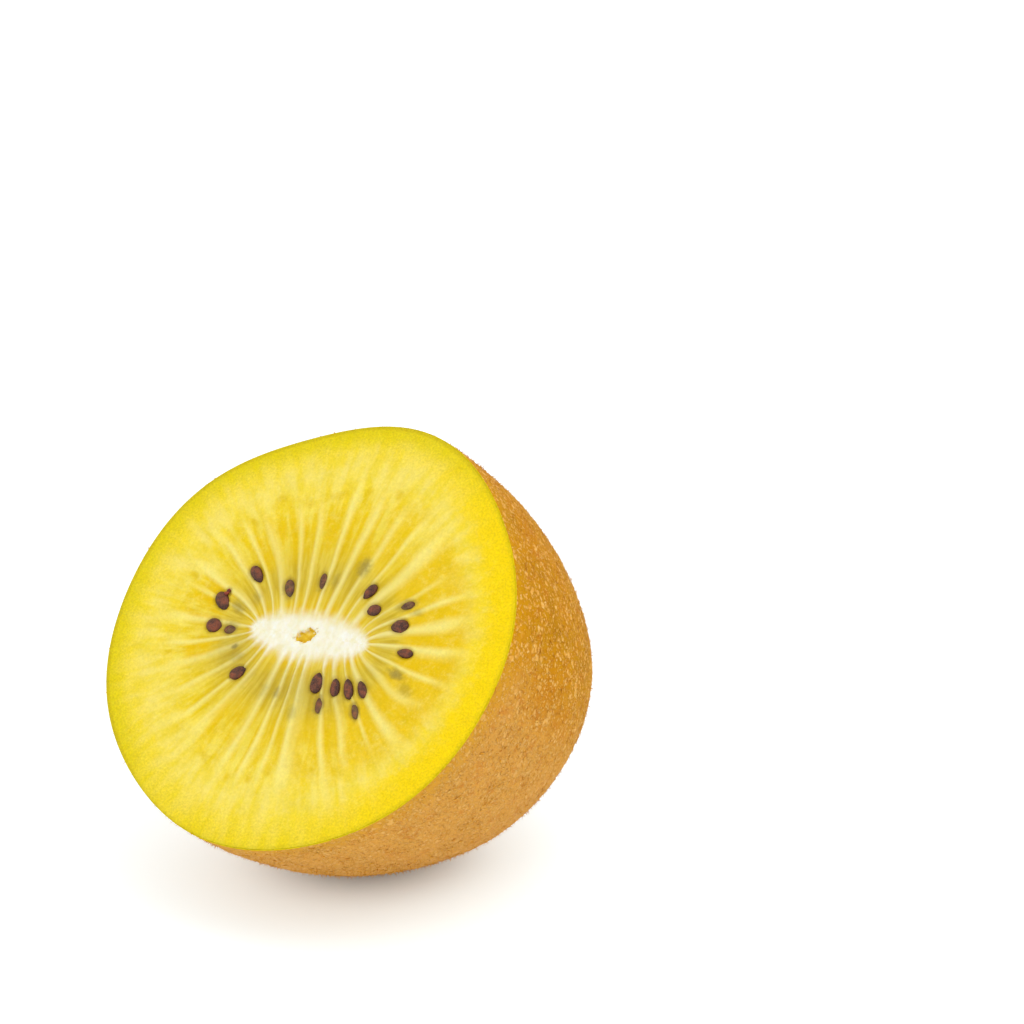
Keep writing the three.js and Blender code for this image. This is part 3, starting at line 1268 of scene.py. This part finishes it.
@dataclass
class Seeds:
    """The seeds that the cut lays open, each fitted to its CAD node, in mm and degrees."""

    form: HalfForm
    segments: int = 24
    rings: int = 16
    taper: float = 0.13
    nose: float = 0.1
    point: tuple = (0.93, 0.05)
    lumps: tuple = (0.6, 0.12)
    roll: float = 0.35
    nod: float = 0.08
    waist: float = 0.1
    width_share: float = 0.9
    sink: float = 0.08
    veiled_swell: float = 1.12
    sunken_rise: float = 0.25
    stalk_place: tuple = (-12.75, 2.3, 0.05)
    stalk_size: tuple = (0.42, 0.28, 0.2)
    stalk_turn: float = 70.0
    stalk_lumps: tuple = (0.3, 0.35)
    seed: int = 11

    def model(self) -> bpy.types.Object:
        """Models one egg-shaped, slightly flattened seed of unit size, its point at +X.

        Returns:
            The seed.
        """
        deselect_all()
        bpy.ops.mesh.primitive_uv_sphere_add(segments=self.segments, ring_count=self.rings,
                                             radius=1.0)
        seed = bpy.context.object
        seed.name = "seed_model"
        bpy.ops.object.mode_set(mode="EDIT")
        bpy.ops.mesh.select_all(action="DESELECT")
        bpy.ops.object.mode_set(mode="OBJECT")
        heights = sorted({round(vertex.co.z, 4) for vertex in seed.data.vertices})
        for height in heights:
            for vertex in seed.data.vertices:
                vertex.select = abs(vertex.co.z - height) < 0.001
            bpy.ops.object.mode_set(mode="EDIT")
            slim = 1 - self.taper * height - self.nose * max(height, 0.0) ** 2
            bpy.ops.transform.resize(value=(slim, slim, 1.0), center_override=(0, 0, 0))
            bpy.ops.mesh.select_all(action="DESELECT")
            bpy.ops.object.mode_set(mode="OBJECT")
        for vertex in seed.data.vertices:
            vertex.select = vertex.co.z > self.point[0]
        bpy.ops.object.mode_set(mode="EDIT")
        bpy.ops.transform.translate(value=(0, 0, self.point[1]))
        bpy.ops.mesh.select_all(action="SELECT")
        bpy.ops.transform.rotate(value=-math.pi / 2, orient_axis="Y",
                                 center_override=(0, 0, 0))
        bpy.ops.object.mode_set(mode="OBJECT")
        smoother = seed.modifiers.new("smooth", "SUBSURF")
        smoother.levels = smoother.render_levels = 1
        bpy.ops.object.modifier_apply(modifier=smoother.name)
        roughen(seed, "seed_lumps", *self.lumps)
        bpy.ops.object.shade_smooth()
        crown = seed.data.attributes.new(SEED_CROWN, "FLOAT", "POINT")
        crown.data.foreach_set("value", [vertex.co.z for vertex in seed.data.vertices])
        return seed

    def fit(self, node: str) -> tuple[Matrix, float]:
        """Finds how a CAD seed lies on the cut.

        Args:
            node: Name of the CAD node.

        Returns:
            The matrix that lays the unit seed there, in the cut's frame, and how far the
            seed stands above the cut, in mm.
        """
        into_cut = self.form.placement().inverted()
        points = np.array([into_cut @ v.co for v in frame["nodes"][node].data.vertices])
        low, high = points.min(0), points.max(0)
        middle = (low + high) / 2
        flat = points[:, :2] - middle[:2]
        _, axes = np.linalg.eigh(np.cov(flat.T))
        along = axes[:, 1]
        across = np.array([-along[1], along[0]])
        lengthwise, sideways = flat @ along, flat @ across
        front, back = sideways[lengthwise > self.waist], sideways[lengthwise < -self.waist]
        if np.ptp(front) > np.ptp(back):
            along, across = -along, -across
        veiled = high[2] < self.sunken_rise
        swell = self.veiled_swell if veiled else 1.0
        width = self.veiled_swell if veiled else self.width_share
        sizes = (np.ptp(lengthwise) / 2 * swell, np.ptp(sideways) / 2 * width,
                 (high[2] - low[2]) / 2)
        lie = Matrix.Identity(4)
        for column, (axis, size) in enumerate(zip(((*along, 0), (*across, 0), (0, 0, 1)), sizes)):
            for row in range(3):
                lie[row][column] = axis[row] * size
        lie.translation = Vector(middle) - Vector((0, 0, 0 if veiled else self.sink))
        return lie, float(high[2])

    def build(self) -> list[bpy.types.Object]:
        """Makes every seed, and the torn bit of stalk that still clings to one of them.

        Returns:
            The pieces, in the cut's frame.
        """
        rng = np.random.default_rng(self.seed)
        model = self.model()
        seeds = []
        for node in sorted(n for n in frame["nodes"] if n.startswith("seed_")):
            lie, rise = self.fit(node)
            turn = Euler((rng.uniform(-self.roll, self.roll), rng.uniform(-self.nod, self.nod), 0))
            seed = copy_piece(model, f"kiwi_{node}", lie @ turn.to_matrix().to_4x4())
            seed["rise"] = rise
            seeds.append(seed)
        stalk = copy_piece(model, "kiwi_seed_stalk", Matrix.Diagonal((*self.stalk_size, 1.0)))
        roughen(stalk, "stalk_lumps", *self.stalk_lumps)
        stalk.data.transform(Matrix.Translation(self.stalk_place)
                             @ Matrix.Rotation(math.radians(self.stalk_turn), 4, "Z"))
        bpy.data.objects.remove(model)
        return [*seeds, stalk]

    def dress(self, seeds: list[bpy.types.Object]) -> None:
        """Places the seeds and gives them their finish.

        Args:
            seeds: The seeds and the bit of stalk, in the cut's frame.
        """
        bare = SeedFinish("seed_coat")
        veiled = SeedFinish("seed_coat_under_film", veiled=True)
        for seed in seeds:
            self.form.place(seed)
            if "rise" in seed:
                finish = veiled if seed["rise"] < self.sunken_rise else bare
                hand_over(seed, finish, Slot.SEED, seed.name.removeprefix("kiwi_"))
            else:
                hand_over(seed, StalkFinish("stalk_finish"), Slot.SEED)


@dataclass
class Flesh:
    """Flesh and core: a solid with the cut on top and the skin's inner face below, in mm."""

    form: HalfForm
    pattern: CutPattern
    skin: float = 0.1
    slack: float = 0.5
    rim_round: float = 0.1
    core_rows: int = 26
    core_reach: float = 3.0
    ray_rows: int = 78
    ray_reach: float = 16.0
    rim_rows: int = 34
    side_rows: int = 30
    side_blend: float = 2.0
    ray_height: float = 0.16
    lump_height: float = 0.16
    grain_height: float = 0.1
    sag: float = 0.08
    moat_depth: float = 0.16
    moat_width: float = 0.4
    pit_depth: float = 0.5

    def profile(self) -> list[tuple[float, float]]:
        """Radius and height of the turned line, from the middle of the cut to the end.

        Returns:
            The line's points. They are closest where the rays are.
        """
        rim = self.form.radius - self.skin
        flat = rim - self.rim_round
        face = (steps(self.core_rows, 0.0, self.core_reach)[:-1]
                + steps(self.ray_rows, self.core_reach, self.ray_reach)[:-1]
                + steps(self.rim_rows, self.ray_reach, flat))
        points = [(radius, 0.0) for radius in face]
        for angle in (30, 60):
            turn = math.radians(angle)
            points.append((flat + self.rim_round * math.sin(turn),
                           self.rim_round * 0.5 * (math.cos(turn) - 1)))
        near, far = (self.form.side(self.side_rows, inset)
                     for inset in (self.skin, self.skin + self.slack))
        for (radius, z), (slim, short) in zip(near, far):
            share = min(1.0, -z / self.side_blend)
            if z < -self.rim_round:
                points.append((radius + share * (slim - radius), z + share * (short - z)))
        return points

    def build(self, seeds: list[bpy.types.Object]) -> bpy.types.Object:
        """Models the flesh, raises its rays, sinks the pit and draws it down round the seeds.

        Args:
            seeds: The seeds, in the cut's frame.

        Returns:
            The flesh, in the cut's frame.
        """
        flesh = turn_profile("kiwi_flesh", self.profile(), Grid.FINE)
        self.form.give_outline(flesh)
        group = bpy.data.collections.new("seeds_in_cut")
        for seed in seeds:
            group.objects.link(seed)
        recipe = GeometryRecipe(flesh, "cut_relief")
        graph = recipe.graph
        place = recipe.place()
        gap = self.seed_gap(graph, group)
        store = graph.add("GeometryNodeStoreNamedAttribute",
                          {"data_type": "FLOAT", "domain": "POINT"},
                          {"Geometry": recipe.shape, "Name": SEED_GAP, "Value": gap})
        recipe.shape = store.outputs[0]
        recipe.move(Offset=graph.vector(0.0, 0.0, self.lift(graph, place, gap)))
        recipe.finish()
        bpy.data.collections.remove(group)
        return flesh

    @staticmethod
    def seed_gap(graph: Graph, group: bpy.types.Collection) -> Value:
        """Distance of each point from the nearest seed.

        Args:
            graph: Tree that the nodes go to.
            group: The seeds.

        Returns:
            The distance, in mm.
        """
        near = graph.add("GeometryNodeCollectionInfo", None, {"Collection": group})
        solid = graph.add("GeometryNodeRealizeInstances", None, {0: near.outputs[0]})
        apart = graph.add("GeometryNodeProximity", {"target_element": "FACES"},
                          {0: solid.outputs[0]})
        return Value(graph, apart.outputs["Distance"])

    def lift(self, graph: Graph, place: object, gap: Value) -> Value:
        """How far a point of the cut is raised.

        Args:
            graph: Tree that the nodes go to.
            place: The point's place.
            gap: Its distance from the nearest seed.

        Returns:
            The height, in mm.
        """
        point = self.pattern.at(graph, self.form, place)
        _, _, z = graph.split(place)
        rays = self.pattern.ray_strength(graph, point) * self.ray_height
        lumps = (graph.noise(place, 0.35, 3.0, 0.55) - 0.5) * self.lump_height
        grains = ((graph.noise(place, 1.5, 2.0) - 0.5) * self.grain_height
                  * graph.smooth(point.out, 3.0, 12.0))
        sag = graph.smooth(point.out, 4.0, 8.0) * graph.fade(point.out, 10.0, 17.0) * -self.sag
        moat = graph.fade(gap, 0.0, self.moat_width) * -self.moat_depth
        pit = self.pattern.pit(graph, place) * -self.pit_depth
        return (rays + lumps + grains + sag + moat + pit) * graph.smooth(z, -0.3, -0.02)

    def dress(self, flesh: bpy.types.Object) -> None:
        """Presses the flesh flat below, places it and gives it its finish."""
        self.form.place(self.form.rest_on_table(flesh))
        hand_over(flesh, FleshFinish("kiwi_flesh_finish", self.form, self.pattern), Slot.FLESH)


@dataclass
class Skin:
    """The thin skin round the half, with a cut rim and the blossom end's scar, in mm."""

    form: HalfForm
    thickness: float = 0.1
    rows: int = 130
    inner_rows: int = 24
    rim_drop: float = 0.06
    rim_band: float = 0.05
    lump_height: float = 0.5
    grain_height: float = 0.09
    scar_radius: float = 3.6
    scar_depth: float = 0.55
    scar_ring: float = 0.3
    ring_width: float = 0.9
    ring_waver: float = 1.6

    def profile(self) -> list[tuple[float, float]]:
        """Radius and height of the turned line.

        Returns:
            The line's points, down the outside and back up the inside.
        """
        outer = [(r, z - self.rim_drop) if z > -self.rim_band else (r, z)
                 for r, z in self.form.side(self.rows)]
        inner = self.form.side(self.inner_rows, self.thickness)[::-1]
        inner[-1] = (inner[-1][0], -self.rim_drop)
        lip = ((outer[0][0] + inner[-1][0]) / 2, -self.rim_drop / 2)
        return outer + inner + [lip, outer[0]]

    def build(self) -> bpy.types.Object:
        """Models the skin.

        Returns:
            The skin, in the cut's frame.
        """
        skin = turn_profile("kiwi_skin", self.profile(), Grid.MEDIUM)
        self.form.give_outline(skin)
        recipe = GeometryRecipe(skin, "skin_relief")
        graph = recipe.graph
        place = recipe.place()
        _, _, z = graph.split(place)
        normal = graph.add("GeometryNodeInputNormal").outputs[0]
        lumps = (graph.noise(place, 0.22, 3.0, 0.5) - 0.5) * self.lump_height
        grains = (graph.noise(place, 1.1, 2.0) - 0.5) * self.grain_height
        lift = (lumps + grains) * graph.smooth(z * -1, 0.1, 1.2) + self.scar(graph, place)
        push = graph.add("ShaderNodeVectorMath", {"operation": "SCALE"},
                         {0: normal, "Scale": lift})
        recipe.move(Offset=push.outputs[0])
        return recipe.finish()

    def scar(self, graph: Graph, place: object) -> Value:
        """Height of the scar: a low ring round a sunken dry middle.

        Args:
            graph: Tree that the nodes go to.
            place: Vector in the cut's frame, in mm.

        Returns:
            The height, in mm.
        """
        x, y, z = graph.split(place)
        ragged = (graph.noise(place, 0.9, 2.0) - 0.5) * self.ring_waver
        apart = self.form.from_end(graph, x, y) + ragged
        ring = graph.fade(abs(apart - self.scar_radius), 0.0, self.ring_width) * self.scar_ring
        sunk = graph.fade(apart, self.scar_radius * 0.4, self.scar_radius) * self.scar_depth
        at_end = graph.smooth(z * -1, self.form.length * 0.8, self.form.length * 0.9)
        return (ring - sunk) * at_end

    def dress(self, skin: bpy.types.Object) -> None:
        """Flattens the resting spot, places the skin and gives it its finish."""
        self.form.place(self.form.rest_on_table(skin))
        hand_over(skin, SkinFinish("kiwi_skin_finish", self.form), Slot.SKIN, HALF_NODE)


@dataclass
class BlossomEnd:
    """Dry crumbs of the flower in and round the scar at the blossom end, in mm."""

    form: HalfForm
    count: int = 36
    reach: tuple = (0.3, 3.7)
    size: tuple = (0.45, 1.5)
    flatness: tuple = (1.0, 0.7, 0.6)
    lumps: tuple = (0.3, 0.6)
    lift: float = 0.15
    sink: float = 0.1
    finish: DryFinish = DryFinish("crumb_finish", (112, 62, 24), (186, 108, 34), (236, 150, 54))
    seed: int = 5

    def model(self) -> bpy.types.Object:
        """Models one lumpy crumb of unit size.

        Returns:
            The crumb.
        """
        deselect_all()
        bpy.ops.mesh.primitive_ico_sphere_add(subdivisions=3, radius=0.5)
        crumb = bpy.context.object
        roughen(crumb, "crumb_lumps", *self.lumps)
        bpy.ops.object.shade_smooth()
        return crumb

    def build(self) -> bpy.types.Object:
        """Copies the crumb round the scar and joins the copies into one piece.

        Returns:
            The crumbs, in the cut's frame.
        """
        rng = np.random.default_rng(self.seed)
        model = self.model()
        depth = self.form.length
        middle = Vector((self.form.side_drift * depth, self.form.up_drift * depth, -depth))
        crumbs = []
        for number in range(self.count):
            angle = rng.uniform(0, math.tau)
            reach = self.reach[1] - (self.reach[1] - self.reach[0]) * rng.uniform() ** 2
            scale = rng.uniform(*self.size)
            turn = Euler(rng.uniform(0, math.tau, 3)).to_matrix().to_4x4()
            place = middle + Vector((reach * math.cos(angle), reach * math.sin(angle),
                                     self.lift - self.sink * scale))
            shape = Matrix.Diagonal((*(scale * share for share in self.flatness), 1.0))
            crumbs.append(copy_piece(model, f"crumb_{number}",
                                     Matrix.Translation(place) @ turn @ shape))
        bpy.data.objects.remove(model)
        select_only(crumbs[0])
        for crumb in crumbs:
            crumb.select_set(True)
        bpy.ops.object.join()
        crumbs[0].name = "kiwi_blossom_crumbs"
        return crumbs[0]

    def dress(self, crumbs: bpy.types.Object) -> None:
        """Places the crumbs and gives them their finish."""
        hand_over(self.form.place(crumbs), self.finish, Slot.SKIN)


@dataclass
class HairKind:
    """One kind of hair on the skin, in mm and degrees."""

    name: str
    finish: DryFinish
    per_square_mm: float
    length: float
    width: float
    flatness: float
    sides: int
    tilt: tuple[float, float]
    bend: float
    seed: int
    size: tuple[float, float] = (0.5, 1.3)
    slimming: tuple[float, float] = (0.9, 0.15)

    def strand(self) -> bpy.types.Object:
        """Models one bent, tapering hair that stands on the origin.

        Returns:
            The hair.
        """
        deselect_all()
        bpy.ops.mesh.primitive_circle_add(vertices=self.sides, radius=self.width / 2,
                                          fill_type="NGON")
        hair = bpy.context.object
        bpy.ops.object.mode_set(mode="EDIT")
        bpy.ops.transform.resize(value=(1.0, self.flatness, 1.0))
        rise = self.length / len(self.slimming)
        for step, slim in enumerate(self.slimming):
            aside = self.bend * self.length * (step + 1) ** 2 / 4
            bpy.ops.mesh.extrude_region_move(
                TRANSFORM_OT_translate={"value": (0, aside, rise)})
            bpy.ops.transform.resize(value=(slim, slim, 1.0))
        bpy.ops.mesh.select_all(action="SELECT")
        bpy.ops.mesh.normals_make_consistent(inside=False)
        bpy.ops.object.mode_set(mode="OBJECT")
        return hair


@dataclass
class Fur:
    """Short hairs scattered over the skin: flat bristles and fine fuzz, in mm."""

    form: HalfForm
    rows: int = 60
    table_gap: float = 0.5
    rim_gap: float = 0.25
    kinds: tuple = (
        HairKind("kiwi_bristles",
                 DryFinish("bristle_finish", (216, 138, 16), (238, 166, 46), (252, 198, 96)),
                 per_square_mm=0.75, length=0.5, width=0.2, flatness=0.4, sides=4,
                 tilt=(84, 93), bend=0.12, seed=3),
        HairKind("kiwi_fuzz",
                 DryFinish("fuzz_finish", (212, 138, 20), (234, 164, 48), (248, 194, 92)),
                 per_square_mm=2.4, length=0.45, width=0.045, flatness=1.0, sides=3,
                 tilt=(50, 89), bend=0.3, seed=7))

    def build(self, kind: HairKind) -> bpy.types.Object:
        """Scatters one kind of hair over a copy of the skin's outside.

        Args:
            kind: The hair's sizes and density.

        Returns:
            All the hairs as one piece, in the cut's frame.
        """
        strand = kind.strand()
        bed = turn_profile(kind.name, self.form.side(self.rows), Grid.COARSE)
        self.form.give_outline(bed)
        recipe = GeometryRecipe(bed, "scatter")
        graph = recipe.graph
        x, y, z = graph.split(recipe.place())
        clear = (graph.math("GREATER_THAN", self.form.height(x, y, z), self.table_gap)
                 * graph.math("LESS_THAN", z, -self.rim_gap))
        points = graph.add("GeometryNodeDistributePointsOnFaces", None, {
            "Mesh": recipe.shape, "Selection": clear, "Density": kind.per_square_mm,
            "Seed": kind.seed})
        tilt = self.luck(graph, kind.seed + 1, *(math.radians(angle) for angle in kind.tilt))
        spin = self.luck(graph, kind.seed + 2, 0.0, math.tau)
        size = self.luck(graph, kind.seed + 3, *kind.size)
        turn = graph.add("FunctionNodeEulerToRotation", None, {0: graph.vector(tilt, 0.0, spin)})
        lean = graph.add("FunctionNodeRotateRotation", {"rotation_space": "LOCAL"}, {
            0: points.outputs["Rotation"], 1: turn.outputs[0]})
        source = graph.add("GeometryNodeObjectInfo", None, {"Object": strand})
        placed = graph.add("GeometryNodeInstanceOnPoints", None, {
            "Points": points.outputs[0], "Instance": source.outputs["Geometry"],
            "Rotation": lean.outputs[0], "Scale": graph.vector(size, size, size)})
        real = graph.add("GeometryNodeRealizeInstances", None, {0: placed.outputs[0]})
        recipe.shape = real.outputs[0]
        recipe.finish()
        bpy.data.objects.remove(strand)
        bpy.ops.object.shade_smooth()
        return self.form.rest_on_table(bed)

    @staticmethod
    def luck(graph: Graph, seed: int, low: float, high: float) -> Value:
        """A random number between two others, one for each point."""
        node = graph.add("FunctionNodeRandomValue", {"data_type": "FLOAT"},
                         {2: low, 3: high, "Seed": seed})
        return Value(graph, node.outputs[1])

    def dress(self, kind: HairKind, hairs: bpy.types.Object) -> None:
        """Places one kind of hair and gives it its finish."""
        hand_over(self.form.place(hairs), kind.finish, Slot.SKIN)


@dataclass(frozen=True)
class Lamp:
    """A square soft light: its place from the fruit's middle, its size and its watts."""

    name: str
    away: tuple[float, float, float]
    size: float
    watts: float


@dataclass
class Studio:
    """Pale floor, soft lights and the camera, in metres and degrees."""

    form: HalfForm
    azimuth: float = 34.9
    elevation: float = 20.0
    distance: float = 0.5
    lens: float = 156.4
    aim_mm: tuple = (16.1, 16.9, 12.9)
    floor_size: float = 8.0
    middle: tuple = (0.0, 0.0, 0.02)
    lamps: tuple = (Lamp("key", (0.35, 0.15, 0.6), 0.6, 1.2),
                    Lamp("front", (-0.1, -0.7, 0.5), 0.6, 0.85))

    def build(self) -> None:
        """Makes the whole studio."""
        self.floor()
        self.world()
        self.camera()
        for lamp in self.lamps:
            self.light(lamp)

    def floor(self) -> None:
        """Lays the floor under the fruit."""
        deselect_all()
        bpy.ops.mesh.primitive_plane_add(size=self.floor_size)
        floor = bpy.context.object
        floor.name = "studio_floor"
        floor.data.materials.append(FloorFinish("studio_floor_finish").build())

    def world(self) -> None:
        """Lights the studio evenly from all round."""
        world = bpy.data.worlds.new("studio")
        world.use_nodes = True
        background = world.node_tree.nodes["Background"]
        background.inputs["Color"].default_value = (1.0, 1.0, 1.0, 1.0)
        background.inputs["Strength"].default_value = 1.0
        bpy.context.scene.world = world
        bpy.context.scene.view_settings.view_transform = "Standard"

    def light(self, lamp: Lamp) -> None:
        """Hangs a lamp, which faces the fruit's middle.

        Args:
            lamp: Its place, size and power.
        """
        deselect_all()
        target = Vector(self.middle)
        place = target + Vector(lamp.away)
        facing = (place - target).to_track_quat("Z", "Y").to_euler()
        bpy.ops.object.light_add(type="AREA", location=place, rotation=facing)
        light = bpy.context.object
        light.name = f"studio_{lamp.name}"
        light.data.size = lamp.size
        light.data.energy = lamp.watts

    def camera(self) -> None:
        """Sets the camera, which looks down on the cut from its right."""
        azimuth, elevation = math.radians(self.azimuth), math.radians(self.elevation)
        back = Vector((math.sin(azimuth) * math.cos(elevation),
                       -math.cos(azimuth) * math.cos(elevation), math.sin(elevation)))
        target = (self.form.origin + Vector(self.aim_mm)) * MILLIMETRE
        deselect_all()
        bpy.ops.object.camera_add(location=target + back * self.distance,
                                  rotation=back.to_track_quat("Z", "Y").to_euler())
        camera = bpy.context.object
        camera.name = "studio_camera"
        camera.data.lens = self.lens
        bpy.context.scene.camera = camera


def main() -> None:
    """Builds the half fruit and its studio."""
    logging.basicConfig(level=logging.INFO, format="%(name)s: %(message)s")
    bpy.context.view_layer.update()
    form = HalfForm()
    skin_maker = Skin(form)
    skin = skin_maker.build()
    form.hang_from(skin)
    log.info("middle of the cut at %s mm", tuple(round(c, 2) for c in form.origin))
    Studio(form).build()
    seed_maker = Seeds(form)
    seeds = seed_maker.build()
    flesh_maker = Flesh(form, CutPattern())
    flesh_maker.dress(flesh_maker.build(seeds))
    seed_maker.dress(seeds)
    skin_maker.dress(skin)
    end_maker = BlossomEnd(form)
    end_maker.dress(end_maker.build())
    fur = Fur(form)
    for kind in fur.kinds:
        fur.dress(kind, fur.build(kind))


if __name__ == "__main__":
    main()
